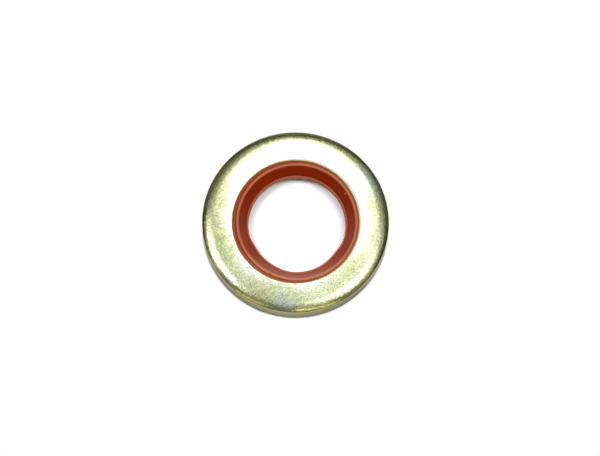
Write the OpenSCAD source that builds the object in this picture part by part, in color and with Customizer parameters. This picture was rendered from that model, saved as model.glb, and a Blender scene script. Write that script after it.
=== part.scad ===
// A metal-cased lip seal for a turning shaft: a pressed steel cup, yellow zinc plated, with a
// moulded rubber lip bonded round the opening in its flange. The seal stands on the cup's open rim,
// with the shaft along Z. Sizes are in millimetres and angles in degrees.

/* [Steel case] */
// Outside diameter, a press fit in the housing
case_d = 52; // [48:0.5:70]
// Height from the open rim to the flange face
case_h = 7; // [6:0.5:12]
// Thickness of the pressed sheet
sheet_t = 1.2; // [0.8:0.1:1.5]
// Diameter of the opening punched in the flange
opening_d = 35.2; // [33:0.2:38]
// Rounding of the opening's upper edge, drawn in by the punch
punch_r = 0.25; // [0.1:0.05:0.4]
// Distance from the wall in to where the shoulder's slope would meet the flat face
shoulder_w = 1.85; // [1.2:0.05:2.6]
// Slope of the shoulder where it reaches the wall
shoulder_slope = 26; // [15:1:35]
// Rounding of the edge between shoulder and wall
corner_r = 0.35; // [0.2:0.05:0.6]
// Straight stretch of that slope, between the shoulder's arc and its outer edge
shoulder_straight = 0.2; // [0.1:0.05:0.4]
// Rounding inside the cup, between flange and wall
hollow_r = 1.5; // [0.8:0.1:2]
// Rounding of the rim's two edges
rim_r = 0.25; // [0.1:0.05:0.35]

/* [Rubber lip] */
// Diameter of the shaft that the lip runs on
shaft_d = 28; // [26:0.5:30]
// How much smaller than the shaft the free lip is, across its diameter
lip_squeeze = 0.8; // [0.4:0.1:1.2]
// Height of the running face that grips the shaft
edge_h = 1.5; // [1.2:0.05:2]
// Width of the land above the running face
land_w = 0.55; // [0.4:0.05:0.8]
// Depth of the land below the ridge
lip_depth = 2.75; // [2.2:0.05:3.2]
// Thickness of the lip's sloping wall
lip_t = 1.3; // [0.9:0.1:1.6]
// Width of the raised ridge round the top of the lip
ridge_w = 0.7; // [0.5:0.05:1]
// How far the ridge stays below the flange face
ridge_drop = 0.15; // [0:0.05:0.3]
// Width of the groove between the ridge and the flange
groove_w = 0.65; // [0.4:0.05:1]
// Depth of that groove below the ridge
groove_depth = 0.35; // [0.35:0.05:0.6]
// How far the bonded foot reaches out under the flange
foot_w = 3; // [1.5:0.1:4]
// Thickness of the foot under the flange
foot_t = 0.8; // [0.6:0.1:1.2]

/* [Rubber edges] */
// Rounding of the ridge's two edges
ridge_r = 0.2; // [0.1:0.05:0.25]
// Rounding at the bottom of the groove
groove_r = 0.1; // [0.05:0.01:0.14]
// Rounding of the running face's two edges
edge_r = 0.1; // [0.05:0.01:0.15]
// Rounding between the lip's slope and the land
crease_r = 0.3; // [0.1:0.05:0.4]
// Rounding of the lip's lower end
nose_r = 0.3; // [0.1:0.05:0.4]
// Rounding between the lip's underside and the foot
root_r = 0.8; // [0.3:0.1:1.2]
// Rounding of the foot's outer edge
foot_r = 0.4; // [0.2:0.05:0.5]

/* [Hidden] */
$fn = 180;

case_r = case_d / 2;
opening_r = opening_d / 2;
under_z = case_h - sheet_t;
// The shoulder is one wide arc, from the flat face down to its straight stretch and outer edge.
shoulder_z = case_h - shoulder_w * tan(shoulder_slope);
corner_len = corner_r * tan((90 - shoulder_slope) / 2);
shoulder_len = shoulder_w / cos(shoulder_slope) - corner_len - shoulder_straight;
shoulder_r = shoulder_len / tan(shoulder_slope / 2);

lip_r = (shaft_d - lip_squeeze) / 2;
ridge_z = case_h - ridge_drop;
groove_z = ridge_z - groove_depth;
ridge_out_r = opening_r - groove_w;
ridge_in_r = ridge_out_r - ridge_w;
land_r = lip_r + land_w;
land_z = ridge_z - lip_depth;
foot_z = under_z - foot_t;
foot_out_r = opening_r + foot_w;
// The lip's underside runs parallel to its upper slope, one wall thickness away.
slope = unit([ridge_in_r - land_r, ridge_z - land_z]);
nose = [land_r, land_z] + lip_t * [slope.y, -slope.x];
root_x = nose.x + (foot_z - nose.y) * slope.x / slope.y;

function unit(v) = v / norm(v);
function left_of(v) = [-v.y, v.x];
function point(corner) = [corner.x, corner.y];
// Directions into and out of corner i of a closed outline, and half the angle that it turns.
function dir_in(c, i) = unit(point(c[i]) - point(c[(i + len(c) - 1) % len(c)]));
function dir_out(c, i) = unit(point(c[(i + 1) % len(c)]) - point(c[i]));
function half_turn(c, i) = acos(dir_in(c, i) * dir_out(c, i)) / 2;
function bulges(c, i) = cross(dir_in(c, i), dir_out(c, i)) > 0;
// Where a corner's arc starts and ends, and its centre.
function arc_start(c, i) = point(c[i]) - c[i].z * tan(half_turn(c, i)) * dir_in(c, i);
function arc_end(c, i) = point(c[i]) + c[i].z * tan(half_turn(c, i)) * dir_out(c, i);
function arc_centre(c, i) = arc_start(c, i) + (bulges(c, i) ? 1 : -1) * c[i].z * left_of(dir_in(c, i));
function corner_points(c, i) = c[i].z == 0 ? [point(c[i])] : [arc_start(c, i), arc_end(c, i)];

// The part of a corner's circle that stands beyond the chord between its two tangent points.
module arc_cap(c, i) {
    start = arc_start(c, i);
    end = arc_end(c, i);
    beyond = 2 * point(c[i]) - start - end;
    intersection() {
        translate(arc_centre(c, i)) circle(c[i].z);
        polygon([start, end, end + beyond, start + beyond]);
    }
}

// An outline from corners [radius, height, rounding], listed anticlockwise, with true arcs.
module rounded_outline(c) {
    rounded = [for (i = [0 : len(c) - 1]) if (c[i].z > 0) i];
    difference() {
        union() {
            polygon([for (i = [0 : len(c) - 1]) each corner_points(c, i)]);
            for (i = rounded) if (bulges(c, i)) arc_cap(c, i);
        }
        for (i = rounded) if (!bulges(c, i)) arc_cap(c, i);
    }
}

// Pressed cup with a rounded shoulder and a flange turned in over the shaft.
module steel_case() {
    color("khaki")
        rotate_extrude()
            rounded_outline([
                [opening_r, under_z, 0],
                [case_r - sheet_t, under_z, hollow_r],
                [case_r - sheet_t, 0, rim_r],
                [case_r, 0, rim_r],
                [case_r, shoulder_z, corner_r],
                [case_r - shoulder_w, case_h, shoulder_r],
                [opening_r, case_h, punch_r],
            ]);
}

// Moulded lip: a foot bonded under the flange, a ridge, and a wall that slopes in to the shaft.
module rubber_lip() {
    color("firebrick")
        rotate_extrude()
            rounded_outline([
                [lip_r, land_z - edge_h, edge_r],
                [nose.x, nose.y, nose_r],
                [root_x, foot_z, root_r],
                [foot_out_r, foot_z, foot_r],
                [foot_out_r, under_z, 0],
                [opening_r, under_z, 0],
                [opening_r, groove_z, 0],
                [ridge_out_r, groove_z, groove_r],
                [ridge_out_r, ridge_z, ridge_r],
                [ridge_in_r, ridge_z, ridge_r],
                [land_r, land_z, crease_r],
                [lip_r, land_z, edge_r],
            ]);
}

steel_case();
rubber_lip();
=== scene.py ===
import bpy
import numpy as np
from mathutils import Matrix, Vector


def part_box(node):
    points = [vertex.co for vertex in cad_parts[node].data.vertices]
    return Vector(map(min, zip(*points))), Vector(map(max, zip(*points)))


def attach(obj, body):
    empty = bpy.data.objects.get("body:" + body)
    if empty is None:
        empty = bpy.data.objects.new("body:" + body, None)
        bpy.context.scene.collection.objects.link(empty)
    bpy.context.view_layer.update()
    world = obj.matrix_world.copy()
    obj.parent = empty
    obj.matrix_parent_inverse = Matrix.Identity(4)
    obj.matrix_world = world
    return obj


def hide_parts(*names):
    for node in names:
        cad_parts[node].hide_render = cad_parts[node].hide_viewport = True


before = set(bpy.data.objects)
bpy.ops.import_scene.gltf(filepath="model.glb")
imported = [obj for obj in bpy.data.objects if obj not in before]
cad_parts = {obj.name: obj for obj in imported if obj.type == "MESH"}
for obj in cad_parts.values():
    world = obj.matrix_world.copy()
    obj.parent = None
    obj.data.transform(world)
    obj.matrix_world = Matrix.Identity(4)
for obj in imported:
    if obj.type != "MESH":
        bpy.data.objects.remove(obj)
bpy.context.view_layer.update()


# Steel case: a cup pressed from one sheet of steel, its flange turned in over the shaft, its opening punched.
# It is zinc plated: fine crystals under a yellow-green chromate film that drifts to olive, gold and blue.
# The press has burnished its outer edge. It stands on its open rim, with the rubber bonded in its opening.
mm = 0.001
case_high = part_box("steel_case")[1]
case_r = case_high.x
case_h = case_high.z
sheet_t = 1.2 * mm
opening_r = 17.6 * mm
punch_bend = 0.25 * mm
punch_shift = np.array([0.06, -0.15, 0.0]) * mm
punch_drawn = 0.4 * mm
crown_r = 20.4 * mm
crown_slope = np.radians(3.0)
crown_bend = 75.0 * mm
shoulder_slope = np.radians(22.0)
shoulder_drop = 0.9 * mm
shoulder_bend = 9.2 * mm
corner_bend = 0.35 * mm
hollow_bend = 1.5 * mm
rim_bend = 0.25 * mm
broken_edge = 0.05 * mm

shoulder_z = case_h - shoulder_drop
under_z = case_h - sheet_t
crown_fall, shoulder_fall = np.tan(crown_slope), np.tan(shoulder_slope)
shoulder_r = crown_r + ((case_r - crown_r) * shoulder_fall - shoulder_drop) / (shoulder_fall - crown_fall)


def rounded_outline(corners, arc_steps, edge_steps):
    """A closed outline from corners (radius, height, rounding), listed anticlockwise, as an array of points.

    A corner that turns by 2h is cut back by rounding * tan(h) on both sides, and the two ends are joined by a
    rational quadratic curve with the weight cos(h) on the corner, which is a true circle's arc. The straight
    from one arc to the next has points that lie closer together towards its ends.
    """
    corners = np.array(corners)
    place, rounding = corners[:, :2], corners[:, 2]
    step = place - np.roll(place, 1, axis=0)
    into = step / np.linalg.norm(step, axis=1, keepdims=True)
    onward = np.roll(into, -1, axis=0)
    half_turn = np.arccos(np.clip((into * onward).sum(axis=1), -1, 1)) / 2
    cut = (rounding * np.tan(half_turn))[:, None]
    start, end = place - cut * into, place + cut * onward
    t = np.linspace(0, 1, arc_steps + 1)[None, :, None]
    first, middle, last = (1 - t) ** 2, 2 * t * (1 - t) * np.cos(half_turn)[:, None, None], t**2
    arcs = first * start[:, None] + middle * place[:, None] + last * end[:, None]
    arcs /= first + middle + last
    along = (1 - np.cos(np.pi * np.linspace(0, 1, edge_steps + 1)[1:-1])) / 2
    straight = np.roll(start, -1, axis=0) - end
    edges = end[:, None] + along[None, :, None] * straight[:, None]
    return np.concatenate([arcs, edges], axis=1).reshape(-1, 2)


def ring_grid(outline, turns=384):
    """An outline carried round the Z axis: arrays of radius, height and angle, one row for each turn."""
    angle = np.linspace(0, 2 * np.pi, turns, endpoint=False)[:, None] + 0 * outline[None, :, 0]
    return outline[None, :, 0] + 0 * angle, outline[None, :, 1] + 0 * angle, angle


def ring_points(radius, height, angle, shift):
    """Points at radius * (cos, sin) of the angle and at the height, each moved by its own shift."""
    return np.stack([radius * np.cos(angle), radius * np.sin(angle), height], axis=-1) + shift


def smooth(value, low, high):
    """The cubic step 3t^2 - 2t^3, from 0 at low to 1 at high."""
    t = np.clip((value - low) / (high - low), 0, 1)
    return t * t * (3 - 2 * t)


def ring_piece(name, points, material):
    """A smooth mesh piece from a grid of points, closed on itself round the ring and round its section."""
    turns, count = points.shape[:2]
    index = np.arange(turns * count).reshape(turns, count)
    ahead = np.roll(index, -1, axis=0)
    quads = np.stack([index, ahead, np.roll(ahead, -1, axis=1), np.roll(index, -1, axis=1)], axis=-1)
    mesh = bpy.data.meshes.new(name)
    mesh.from_pydata(points.reshape(-1, 3).tolist(), [], quads.reshape(-1, 4).tolist())
    mesh.polygons.foreach_set("use_smooth", np.ones(turns * count, dtype=bool))
    mesh.materials.append(material)
    piece = bpy.data.objects.new(name, mesh)
    bpy.context.scene.collection.objects.link(piece)
    return piece


class Wire:
    """A value in a node tree: arithmetic on it adds Math nodes, and node() adds any other node."""

    def __init__(self, tree, socket=None):
        self.tree = tree
        self.socket = socket

    def node(self, kind, settings=None, inputs=None, out=0):
        """Adds a node, sets its settings, then gives its sockets their values or links."""
        made = self.tree.nodes.new("ShaderNode" + kind)
        for key, value in (settings or {}).items():
            setattr(made, key, value)
        for key, value in (inputs or {}).items():
            socket = next(s for s in made.inputs if key in (s.identifier, s.name))
            if isinstance(value, Wire):
                self.tree.links.new(value.socket, socket)
            else:
                socket.default_value = value
        return Wire(self.tree, made.outputs[out])

    def math(self, operation, first, second):
        """Math on two values, each of them a wire or a number."""
        return self.node("Math", {"operation": operation}, {"Value": first, "Value_001": second})

    def vector(self, operation, second=(0.0, 0.0, 0.0), out=0):
        """Vector Math on this vector and a second one; a length or a distance is at out=1."""
        return self.node("VectorMath", {"operation": operation}, {"Vector": self, "Vector_001": second}, out)

    def __add__(self, other):
        return self.math("ADD", self, other)

    def __sub__(self, other):
        return self.math("SUBTRACT", self, other)

    def __rsub__(self, other):
        return self.math("SUBTRACT", other, self)

    def __mul__(self, other):
        return self.math("MULTIPLY", self, other)

    __radd__ = __add__
    __rmul__ = __mul__

    def rise(self, low, high):
        """A smooth step from 0 where the value is at low to 1 where it is at high."""
        return self.node("MapRange", {"interpolation_type": "SMOOTHSTEP"},
                         {"Value": self, "From Min": low, "From Max": high})

    def mix(self, where_0, where_1):
        """A colour that goes from one colour to another as this value goes from 0 to 1."""
        sides = {key: side if isinstance(side, Wire) else (*side, 1.0)
                 for key, side in (("A_Color", where_0), ("B_Color", where_1))}
        return self.node("Mix", {"data_type": "RGBA"}, {"Factor_Float": self, **sides}, out=2)

    def near(self, *spots):
        """Soft spots (x, y, radius in mm) on these coordinates: 0 at the radius, 1 within a fifth of it."""
        return sum(
            self.vector("DISTANCE", (x * mm, y * mm, 0.0), out=1).rise(radius * mm, 0.2 * radius * mm)
            for x, y, radius in spots
        )

    def noise(self, size, detail=2.0, roughness=0.5):
        """Noise on these coordinates, from about 0 to 1, whose patches are about one size across."""
        return self.node("TexNoise", None, {"Vector": self, "Scale": 1 / size, "Detail": detail,
                                            "Roughness": roughness})


def new_material(name):
    """A new material, with its Principled shader and its Object coordinates."""
    material = bpy.data.materials.new(name)
    material.use_nodes = True
    shader = material.node_tree.nodes["Principled BSDF"]
    place = Wire(material.node_tree).node("TexCoord", out=3)
    return material, shader, place


def feed(shader, **values):
    """Links wires to the shader's sockets and sets plain values on them; a name has _ for a space."""
    for key, value in values.items():
        socket = shader.inputs[key.replace("_", " ")]
        if isinstance(value, Wire):
            value.tree.links.new(value.socket, socket)
        else:
            socket.default_value = value


film_clean = (0.86, 0.88, 0.74)
film_pale = (0.82, 0.87, 0.515)
film_olive = (0.60, 0.655, 0.275)
film_moss = (0.47, 0.53, 0.20)
film_blue = (0.66, 0.74, 0.60)
film_gold = (0.88, 0.78, 0.27)
# The outer wall's film is darker, partly its own ground finish and partly painted shade for the shadowed
# paper it mirrors.
wall_film_and_shade = (0.375, 0.36, 0.135)
# Painted shade: a darker tone for the foot of the wall, where it mirrors the paper's contact shadow.
painted_rim_shade = (0.235, 0.225, 0.09)
pepper_shade = (0.27, 0.29, 0.13)
speck_shade = (0.22, 0.18, 0.09)
# A pale cream round the punched edge: partly the bonding primer, partly a painted highlight on the edge's
# rounding.
primer_cream_highlight = (0.62, 0.565, 0.32)
zinc_edge_tint = (0.85, 0.80, 0.72, 1.0)
crystal_size = 0.38 * mm
crystal_tilt = 0.020
pepper_size = 0.36 * mm
mottle_size = 1.5 * mm
olive_places = [
    (-5.0, -20.5, 11.0), (-20.0, -9.0, 8.0), (-22.3, -4.0, 6.0), (-22.9, 5.5, 7.0), (12.5, -16.0, 8.0),
    (22.0, 6.5, 5.0), (-24.0, 0.0, 4.0), (17.0, -11.5, 5.0),
]
blue_places = [(-2.4, -23.6, 5.0), (19.8, 13.0, 8.0), (-17.3, -17.9, 3.5)]
gold_places = [(-11.7, -22.5, 5.0), (7.6, -24.2, 8.0), (-21.5, 11.5, 9.0)]
speck_place = (-18.0, -5.2, 0.35)
primer_and_highlight_centre = (0.32 * mm, 0.12 * mm, 0.0)

# Each change over the steel, from the radius or height where it starts to the one where it is complete.
clean_to_pale = 18.5 * mm, 21.0 * mm
smooth_to_grain = 19.5 * mm, 22.5 * mm
pale_to_olive = 21.5 * mm, 24.5 * mm
olive_to_gold = 24.6 * mm, 25.4 * mm
grain_to_burnish = 24.7 * mm, 25.1 * mm
steel_to_primer_and_highlight = opening_r + 0.45 * mm, opening_r + 0.20 * mm
shoulder_to_wall = shoulder_z, shoulder_z - 0.35 * mm
wall_to_painted_rim_shade = 4.0 * mm, 0.3 * mm

# How strongly each shade covers the film below it, and the noise levels where a patch starts and is full.
moss_patch = 0.50, 0.64
pepper_patch = 0.46, 0.62
stain_cover = 0.45
moss_cover = 0.08
stain_moss_cover = 0.40
olive_cover = 0.8
blue_cover = 0.7
gold_cover = 0.35
speck_cover = 0.7
pepper_cover = 0.12
outer_pepper_cover = 0.48
stain_pepper_cover = 0.12
burnish_pepper_loss = 0.3
wall_pepper_loss = 0.15
wall_crystal_loss = 0.8
primer_cover = 0.8
plate_roughness = 0.20
mottle_roughness = 0.10
burnish_polish = 0.11

plated_steel, shader, place = new_material("plated_steel")
crystal = place.node("TexVoronoi", None, {"Vector": place, "Scale": 1 / crystal_size}, out=1)
pepper = place.noise(pepper_size, roughness=0.6)
mottle = place.noise(mottle_size, detail=3.0, roughness=0.6)
flat = place.vector("MULTIPLY", (1.0, 1.0, 0.0))
reach = flat.vector("LENGTH", out=1)
level = place.node("SeparateXYZ", None, {"Vector": place}, out=2)
# The primer band round the opening, which also carries a painted highlight.
primer_and_highlight = flat.vector("DISTANCE", primer_and_highlight_centre, out=1).rise(*steel_to_primer_and_highlight)
stain = flat.near(*olive_places)
wall = level.rise(*shoulder_to_wall)
burnish = reach.rise(*grain_to_burnish)
gold = reach.rise(*olive_to_gold) * (gold_cover + (1.0 - gold_cover) * flat.near(*gold_places))
moss = mottle.rise(*moss_patch) * (moss_cover + stain_moss_cover * stain)
grain = pepper_cover + outer_pepper_cover * reach.rise(*smooth_to_grain) + stain_pepper_cover * stain
grain = grain - burnish_pepper_loss * burnish - wall_pepper_loss * wall
film = reach.rise(*clean_to_pale).mix(film_clean, film_pale)
film = (stain * stain_cover).mix(film, film_olive)
film = moss.mix(film, film_moss)
film = (reach.rise(*pale_to_olive) * olive_cover).mix(film, film_olive)
film = (flat.near(*blue_places) * blue_cover).mix(film, film_blue)
film = gold.mix(film, film_gold)
# Painted shade in part: the outer wall takes its darker film.
film = wall.mix(film, wall_film_and_shade)
# Painted shade: the wall darkens from 4 mm above the paper down to its rim.
film = level.rise(*wall_to_painted_rim_shade).mix(film, painted_rim_shade)
film = (pepper.rise(*pepper_patch) * grain).mix(film, pepper_shade)
film = (flat.near(speck_place) * speck_cover).mix(film, speck_shade)
# Painted highlight in part: the primer band is pale cream.
film = primer_and_highlight.mix(film, primer_cream_highlight)
lean = crystal.vector("SUBTRACT", (0.5, 0.5, 0.5))
lean = lean.node("VectorMath", {"operation": "SCALE"},
                 {"Vector": lean, "Scale": 2 * crystal_tilt * (1.0 - wall_crystal_loss * wall)})
feed(
    shader,
    Metallic=1.0 - primer_cover * primer_and_highlight,
    Base_Color=film,
    Roughness=plate_roughness + mottle_roughness * mottle - burnish_polish * burnish,
    Specular_Tint=zinc_edge_tint,
    Normal=lean.vector("ADD", lean.node("NewGeometry", out=1)).vector("NORMALIZE"),
)

case_outline = rounded_outline([
    (opening_r, under_z, broken_edge),
    (case_r - sheet_t, under_z, hollow_bend),
    (case_r - sheet_t, 0.0, rim_bend),
    (case_r, 0.0, rim_bend),
    (case_r, shoulder_z, corner_bend),
    (shoulder_r, case_h - (shoulder_r - crown_r) * crown_fall, shoulder_bend),
    (crown_r, case_h, crown_bend),
    (opening_r, case_h, punch_bend),
], arc_steps=12, edge_steps=8)
radius, height, angle = ring_grid(case_outline)
off_axis = punch_shift * smooth(radius, crown_r, opening_r + punch_drawn)[..., None]
steel_case = ring_piece("pressed_case", ring_points(radius, height, angle, off_axis), plated_steel)
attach(steel_case, "root")
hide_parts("steel_case")


# Rubber lip: one moulding of red-brown rubber, vulcanised to the primed edge and underside of the flange.
# It has a foot under the flange, a groove, a raised ridge, and a soft wall that slopes in to the shaft.
# The mould sat a little off the case's axis, and the free edge has come out of it slightly out of round.
lip_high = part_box("rubber_lip")[1]
foot_out_r = lip_high.x
ridge_z = lip_high.z
lip_r = 13.6 * mm
edge_h = 1.5 * mm
edge_bend = 0.1 * mm
land_w = 0.55 * mm
crease_bend = 0.3 * mm
lip_depth = 2.75 * mm
lip_t = 1.3 * mm
nose_bend = 0.3 * mm
ridge_w = 0.7 * mm
ridge_bend = 0.2 * mm
groove_w = 0.65 * mm
groove_depth = 0.35 * mm
groove_bend = 0.1 * mm
foot_t = 0.8 * mm
foot_bend = 0.4 * mm
root_bend = 0.8 * mm
mould_shift = np.array([0.40, -0.14, 0.0]) * mm
slack = [
    (90, 60, -0.08 * mm), (150, 32, -0.16 * mm), (214, 14, -0.38 * mm), (240, 18, -0.23 * mm),
    (268, 18, 0.15 * mm), (324, 15, -0.30 * mm), (343, 11, 0.08 * mm), (40, 25, -0.08 * mm),
]

land_r = lip_r + land_w
land_z = ridge_z - lip_depth
ridge_out_r = opening_r - groove_w
ridge_in_r = ridge_out_r - ridge_w
groove_z = ridge_z - groove_depth
foot_z = under_z - foot_t
slope = np.array([ridge_in_r - land_r, ridge_z - land_z])
slope /= np.linalg.norm(slope)
nose_r, nose_z = land_r + lip_t * slope[1], land_z - lip_t * slope[0]
root_r = nose_r + (foot_z - nose_z) * slope[0] / slope[1]


def slack_edge(height, angle):
    """How far the free edge strays from round: a bell curve (angle, width, stray) for each slack place.

    Their sum fades out up the lip's wall, from the land to the ridge.
    """
    middle, width, stray = (np.array(column)[:, None, None] for column in zip(*slack))
    turn = (np.degrees(angle)[None] - middle + 180) % 360 - 180
    return (stray * np.exp(-((turn / width) ** 2))).sum(axis=0) * smooth(height, ridge_z, land_z)


rubber_red = (0.265, 0.0160, 0.0004)
rubber_pale = (0.290, 0.021, 0.0010)
# Painted light: paler reds for the near side of the lip, standing in for the light it catches and the paper
# it mirrors.
painted_lit_red = (0.32, 0.050, 0.007)
# Painted highlight: paler reds for the ridge and the land.
painted_highlight_red = (0.40, 0.090, 0.036)
painted_lit_highlight_red = (0.48, 0.145, 0.072)
bond_tan = (0.345, 0.115, 0.042)
# Painted shade: a dark red for the crease between the lip's wall and its land.
painted_crease_shade = (0.11, 0.006, 0.0003)
fleck_pale = (0.70, 0.42, 0.33)
shine_tint = (1.0, 0.88, 0.32, 1.0)
skin_size = 0.12 * mm
skin_depth = 0.002 * mm
cloud_size = 3.0 * mm
crease_shade_places = [(-12.4, -7.2, 5.0), (-8.2, -12.0, 5.5)]
dull_place = (-6.3, -15.7, 1.0)
fleck_place = (13.4, 8.8, 0.40)

# Each change over the rubber, from the height, radius or Y where it starts to the one where it is complete.
wall_to_ridge = ridge_z - 0.25 * mm, ridge_z - 0.10 * mm
edge_to_land = land_z - 0.15 * mm, land_z - 0.05 * mm
wall_to_land = land_z + 0.08 * mm, land_z + 0.02 * mm
land_to_crease_shade = land_z + 0.02 * mm, land_z + 0.10 * mm
wall_to_crease_shade = land_z + 0.55 * mm, land_z + 0.25 * mm
foot_to_groove = groove_z - 0.4 * mm, groove_z - 0.2 * mm
ridge_to_groove = ridge_z - 0.12 * mm, ridge_z - 0.25 * mm
red_to_tan = opening_r - 0.5 * mm, opening_r - 0.1 * mm
# The near side's painted light grows from Y -7 mm to Y -15 mm.
red_to_painted_light = -7.0 * mm, -15.0 * mm

# How strongly each shade covers the red below it, how the surface shines, and the noise levels of a cloud.
cloud_patch = 0.35, 0.75
# The land's share of the ridge's clear shine and painted highlight.
land_shine_and_highlight = 0.5
dull_loss = 0.6
crease_shade_cover = 0.8
fleck_cover = 0.4
rubber_roughness = 0.28
cloud_roughness = 0.10
rubber_shine = 0.32
polish_shine = 0.37
polish_roughness = 0.30
polish_ior = 1.55

lip_rubber, shader, place = new_material("lip_rubber")
skin = place.noise(skin_size, detail=3.0)
cloud = place.noise(cloud_size, detail=3.0)
flat = place.vector("MULTIPLY", (1.0, 1.0, 0.0))
reach = flat.vector("LENGTH", out=1)
level = place.node("SeparateXYZ", None, {"Vector": place}, out=2)
# Painted light: the near side of the lip, towards -Y, is painted paler.
painted_near_light = place.node("SeparateXYZ", None, {"Vector": place}, out=1).rise(*red_to_painted_light)
land = level.rise(*edge_to_land) * level.rise(*wall_to_land)
# Painted highlight and real shine: the ridge and the land get paler reds and a clear coat, less at one dull
# spot.
shine_and_painted_highlight = (level.rise(*wall_to_ridge) + land_shine_and_highlight * land) * (1.0 - dull_loss * flat.near(dull_place))
groove = level.rise(*foot_to_groove) * level.rise(*ridge_to_groove)
# Painted shade: the crease just above the land is darkened at two places on the lower left.
crease_shade_mask = level.rise(*land_to_crease_shade) * level.rise(*wall_to_crease_shade) * flat.near(*crease_shade_places)
red = cloud.rise(*cloud_patch).mix(rubber_red, rubber_pale)
# Painted light and highlight: the reds lighten on the near side, and lighten further on the ridge and the
# land.
red = shine_and_painted_highlight.mix(painted_near_light.mix(red, painted_lit_red), painted_near_light.mix(painted_highlight_red, painted_lit_highlight_red))
red = (reach.rise(*red_to_tan) * groove).mix(red, bond_tan)
red = (crease_shade_mask * crease_shade_cover).mix(red, painted_crease_shade)
red = (flat.near(fleck_place) * fleck_cover).mix(red, fleck_pale)
feed(
    shader,
    Base_Color=red,
    Roughness=rubber_roughness + cloud_roughness * cloud,
    Specular_IOR_Level=rubber_shine,
    Specular_Tint=shine_tint,
    Coat_Weight=polish_shine * shine_and_painted_highlight,
    Coat_Roughness=polish_roughness,
    Coat_IOR=polish_ior,
    Normal=skin.node("Bump", None, {"Height": skin, "Strength": 1.0, "Distance": skin_depth}),
)

lip_outline = rounded_outline([
    (lip_r, land_z - edge_h, edge_bend),
    (nose_r, nose_z, nose_bend),
    (root_r, foot_z, root_bend),
    (foot_out_r, foot_z, foot_bend),
    (foot_out_r, under_z, broken_edge),
    (opening_r, under_z, broken_edge),
    (opening_r, groove_z, broken_edge),
    (ridge_out_r, groove_z, groove_bend),
    (ridge_out_r, ridge_z, ridge_bend),
    (ridge_in_r, ridge_z, ridge_bend),
    (land_r, land_z, crease_bend),
    (lip_r, land_z, edge_bend),
], arc_steps=8, edge_steps=5)
radius, height, angle = ring_grid(lip_outline)
off_axis = punch_shift + (mould_shift - punch_shift) * smooth(radius, opening_r, ridge_out_r)[..., None]
radius = radius + slack_edge(height, angle)
rubber_lip = ring_piece("moulded_lip", ring_points(radius, height, angle, off_axis), lip_rubber)
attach(rubber_lip, "root")
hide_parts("rubber_lip")


# Floor: a sheet of plain white paper, wide enough to fill the view from any side, on which the seal lies.
# The camera sees it overexposed: burnt out to white all round the seal, but with a shadow left in the hole.
# The steel and the rubber are lit by the paper's own white.
floor_half = 3.0
paper_white = (0.93, 0.945, 0.93)
paper_overexposed = (1.34, 1.33, 1.22)
shadow_to_white = case_r + 0.08 * mm, case_r + 0.33 * mm

paper, shader, place = new_material("paper")
seen = place.node("LightPath")
sheet = place.node("BsdfDiffuse", None, {"Color": seen.mix(paper_white, paper_overexposed)})
white = place.node("Emission", None, {"Color": (1.0, 1.0, 1.0, 1.0), "Strength": 1.0})
burnt_out = seen * place.vector("LENGTH", out=1).rise(*shadow_to_white)
sheet = place.node("MixShader", None, {"Fac": burnt_out, "Shader": sheet, "Shader_001": white})
paper.node_tree.links.new(sheet.socket, paper.node_tree.nodes["Material Output"].inputs["Surface"])
across, along = np.meshgrid([-floor_half, floor_half], [-floor_half, floor_half])
mesh = bpy.data.meshes.new("floor")
mesh.from_pydata(np.stack([across, along, 0 * across], axis=-1).reshape(-1, 3).tolist(), [], [(0, 1, 3, 2)])
mesh.materials.append(paper)
floor = bpy.data.objects.new("floor", mesh)
bpy.context.scene.collection.objects.link(floor)


# Light: flat softboxes about a metre above the table, bright at the back and the sides and dimmer in front.
# The steel mirrors each of them from a different slope of its face, and the dim room in its turned-down edge.
# Two fills and a window light the paper and the rubber, and are kept out of all reflections.
box_h = 1.0
room_glow = 0.045
neutral = (1.0, 1.0, 1.0)
pale_blue = (0.92, 0.92, 1.0)
cool = (0.72, 0.72, 1.0)


def softbox(name, middle, size, glow, turn=0.0, tilt=0.0, height=box_h, tint=neutral, mirrored=True):
    """A flat rectangular light that faces down, or tilts towards the front; its power is glow * pi * area."""
    lamp = bpy.data.lights.new(name, "AREA")
    lamp.shape = "RECTANGLE"
    lamp.size, lamp.size_y = size
    lamp.energy = glow * np.pi * size[0] * size[1]
    lamp.color = tint
    box = bpy.data.objects.new(name, lamp)
    box.location = (*middle, height)
    box.rotation_euler = (np.radians(-tilt), 0.0, np.radians(turn))
    box.visible_glossy = mirrored
    bpy.context.scene.collection.objects.link(box)


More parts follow.
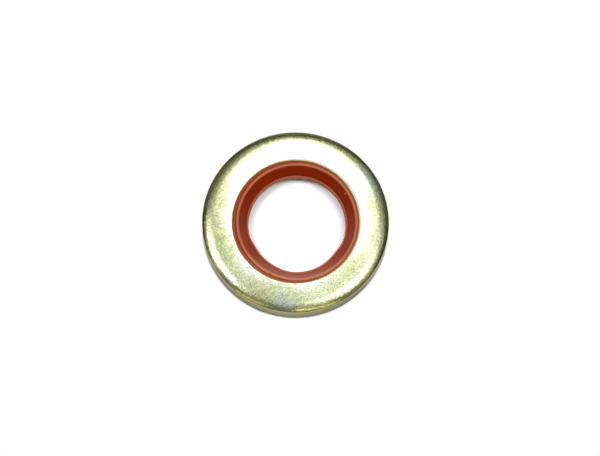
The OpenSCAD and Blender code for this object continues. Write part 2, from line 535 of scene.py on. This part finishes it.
softbox("back_box", (0.008, 0.505), (0.28, 0.42), 4.4, tint=pale_blue)
softbox("back_glow", (0.10, 0.60), (1.04, 0.76), 0.41, height=1.02, tint=pale_blue)
softbox("left_glow", (-0.72, 0.75), (0.60, 0.70), 0.08, height=1.02)
softbox("right_glow", (0.88, 0.72), (0.52, 0.70), 0.06, height=1.02)
softbox("left_box", (-0.46, 0.052), (0.34, 0.28), 7.9, turn=-13, tint=cool)
softbox("right_box", (0.285, -0.003), (0.343, 0.294), 5.55, turn=-7, tint=cool)
softbox("front_glow", (0.12, -0.22), (0.34, 0.18), 0.32, height=1.02)
softbox("front_sky", (-0.10, -0.85), (2.3, 1.4), 0.14, height=1.04)
softbox("front_spot", (0.11, -0.48), (0.15, 0.07), 2.4)
softbox("front_right_box", (0.31, -0.48), (0.24, 0.08), 1.05)
softbox("front_left_box", (-0.41, -0.46), (0.40, 0.08), 0.8)
softbox("ceiling", (-0.06, 0.05), (1.62, 0.50), 0.39, height=1.02)
softbox("back_wall", (0.0, 2.2), (3.6, 1.0), 0.17, tilt=65, height=0.95)
softbox("fill_left", (-0.70, -0.02), (0.8, 0.5), 5.1, height=1.4, mirrored=False)
softbox("fill_right", (0.90, -0.02), (0.8, 0.5), 6.5, height=1.4, mirrored=False)
softbox("window", (0.0, 2.0), (2.4, 0.8), 1.6, tilt=65, height=0.9, mirrored=False)

world = bpy.data.worlds.new("studio")
bpy.context.scene.world = world
world.use_nodes = True
seen = Wire(world.node_tree).node("LightPath")
feed(
    world.node_tree.nodes["Background"],
    Color=(1.0, 1.0, 1.0, 1.0),
    Strength=room_glow + (1.0 - room_glow) * seen,
)
bpy.context.scene.view_settings.view_transform = "Standard"


# Camera: the photograph's own view, from steeply above with a long lens, 14 of the seal's diameters away.
# Its place follows from where the seal's face lies in the picture and how wide the seal is there.
picture_w, picture_h = 600, 456
seal_px = 187.4
face_px = (295.1, 220.3)
elevation = np.radians(75.0)
roll = np.radians(3.0)
diameters_away = 14.0

metres_per_px = 2 * case_r / seal_px
back = Vector((0, -np.cos(elevation), np.sin(elevation)))
sideways = Vector((1, 0, 0))
upright = back.cross(sideways)
right = sideways * np.cos(roll) + upright * np.sin(roll)
up = upright * np.cos(roll) - sideways * np.sin(roll)
aim = Vector((0, 0, case_h))
aim += right * ((picture_w - 1) / 2 - face_px[0]) * metres_per_px
aim -= up * ((picture_h - 1) / 2 - face_px[1]) * metres_per_px
turned = Matrix((right, up, back)).transposed().to_4x4()
view = bpy.data.cameras.new("photo_view")
view.sensor_fit = "HORIZONTAL"
view.lens = view.sensor_width * diameters_away * seal_px / picture_w
view.clip_end = 20.0
camera = bpy.data.objects.new("photo_view", view)
camera.matrix_world = Matrix.Translation(aim + back * diameters_away * 2 * case_r) @ turned
bpy.context.scene.collection.objects.link(camera)
bpy.context.scene.camera = camera
